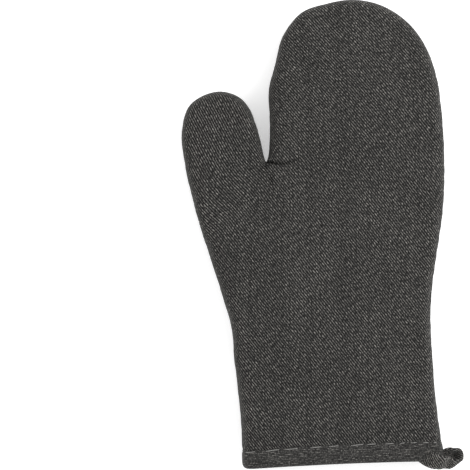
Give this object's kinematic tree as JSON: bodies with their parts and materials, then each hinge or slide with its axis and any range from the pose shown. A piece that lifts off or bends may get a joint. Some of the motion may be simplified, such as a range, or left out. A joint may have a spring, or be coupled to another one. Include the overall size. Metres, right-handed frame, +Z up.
{
  "type": "oven mitt",
  "caption": "Padded oven mitt of dark twill with a thumb, a bound cuff and a corner hanging loop; fingers and thumb fold over to grip.",
  "frame": {"origin": "on the resting surface, under the middle of the whole mitt with its loop", "axes": "+X across the cuff towards the little-finger side, +Y from the cuff to the finger tips, +Z up from the resting surface"},
  "size_m": [0.1972, 0.3276, 0.032],
  "materials": {
    "twill_cloth": "matte washed-black cotton twill with off-white flecks",
    "twill_tape": "matte folded twill tape",
    "batting": "soft cotton wadding",
    "lining_cloth": "matte plain cotton",
    "seam_thread": "dark sewing thread",
    "top_thread": "grey sewing thread"
  },
  "bodies": {
    "palm": {"front_shell_palm": "twill_cloth", "front_batting_palm": "batting", "front_lining_palm": "lining_cloth", "back_shell_palm": "twill_cloth", "back_batting_palm": "batting", "back_lining_palm": "lining_cloth", "shell_seam_thread_palm": "seam_thread", "lining_seam_thread_palm": "seam_thread", "cuff_binding": "twill_tape", "binding_topstitch": "top_thread"},
    "fingers": {"front_shell_fingers": "twill_cloth", "front_batting_fingers": "batting", "front_lining_fingers": "lining_cloth", "back_shell_fingers": "twill_cloth", "back_batting_fingers": "batting", "back_lining_fingers": "lining_cloth", "shell_seam_thread_fingers": "seam_thread", "lining_seam_thread_fingers": "seam_thread"},
    "thumb": {"front_shell_thumb": "twill_cloth", "front_batting_thumb": "batting", "front_lining_thumb": "lining_cloth", "back_shell_thumb": "twill_cloth", "back_batting_thumb": "batting", "back_lining_thumb": "lining_cloth", "shell_seam_thread_thumb": "seam_thread", "lining_seam_thread_thumb": "seam_thread"},
    "loop": {"hanging_loop": "twill_tape", "loop_edge_stitch": "top_thread", "loop_bar_tack": "top_thread"}
  },
  "joints": [
    {"name": "finger_fold", "type": "hinge", "parent": "palm", "child": "fingers", "pos_m": [0.02317, 0.0624, 0.032], "axis": [1, 0, 0], "range_deg": [0, 75]},
    {"name": "thumb_fold", "type": "hinge", "parent": "palm", "child": "thumb", "pos_m": [-0.04123, 0.0538, 0.032], "axis": [0.6, 0.8, 0], "range_deg": [0, 60]},
    {"name": "loop_swing", "type": "hinge", "parent": "palm", "child": "loop", "pos_m": [0.07217, -0.1584, 0.013], "axis": [0, 0, -1], "range_deg": [0, 60]}
  ]
}
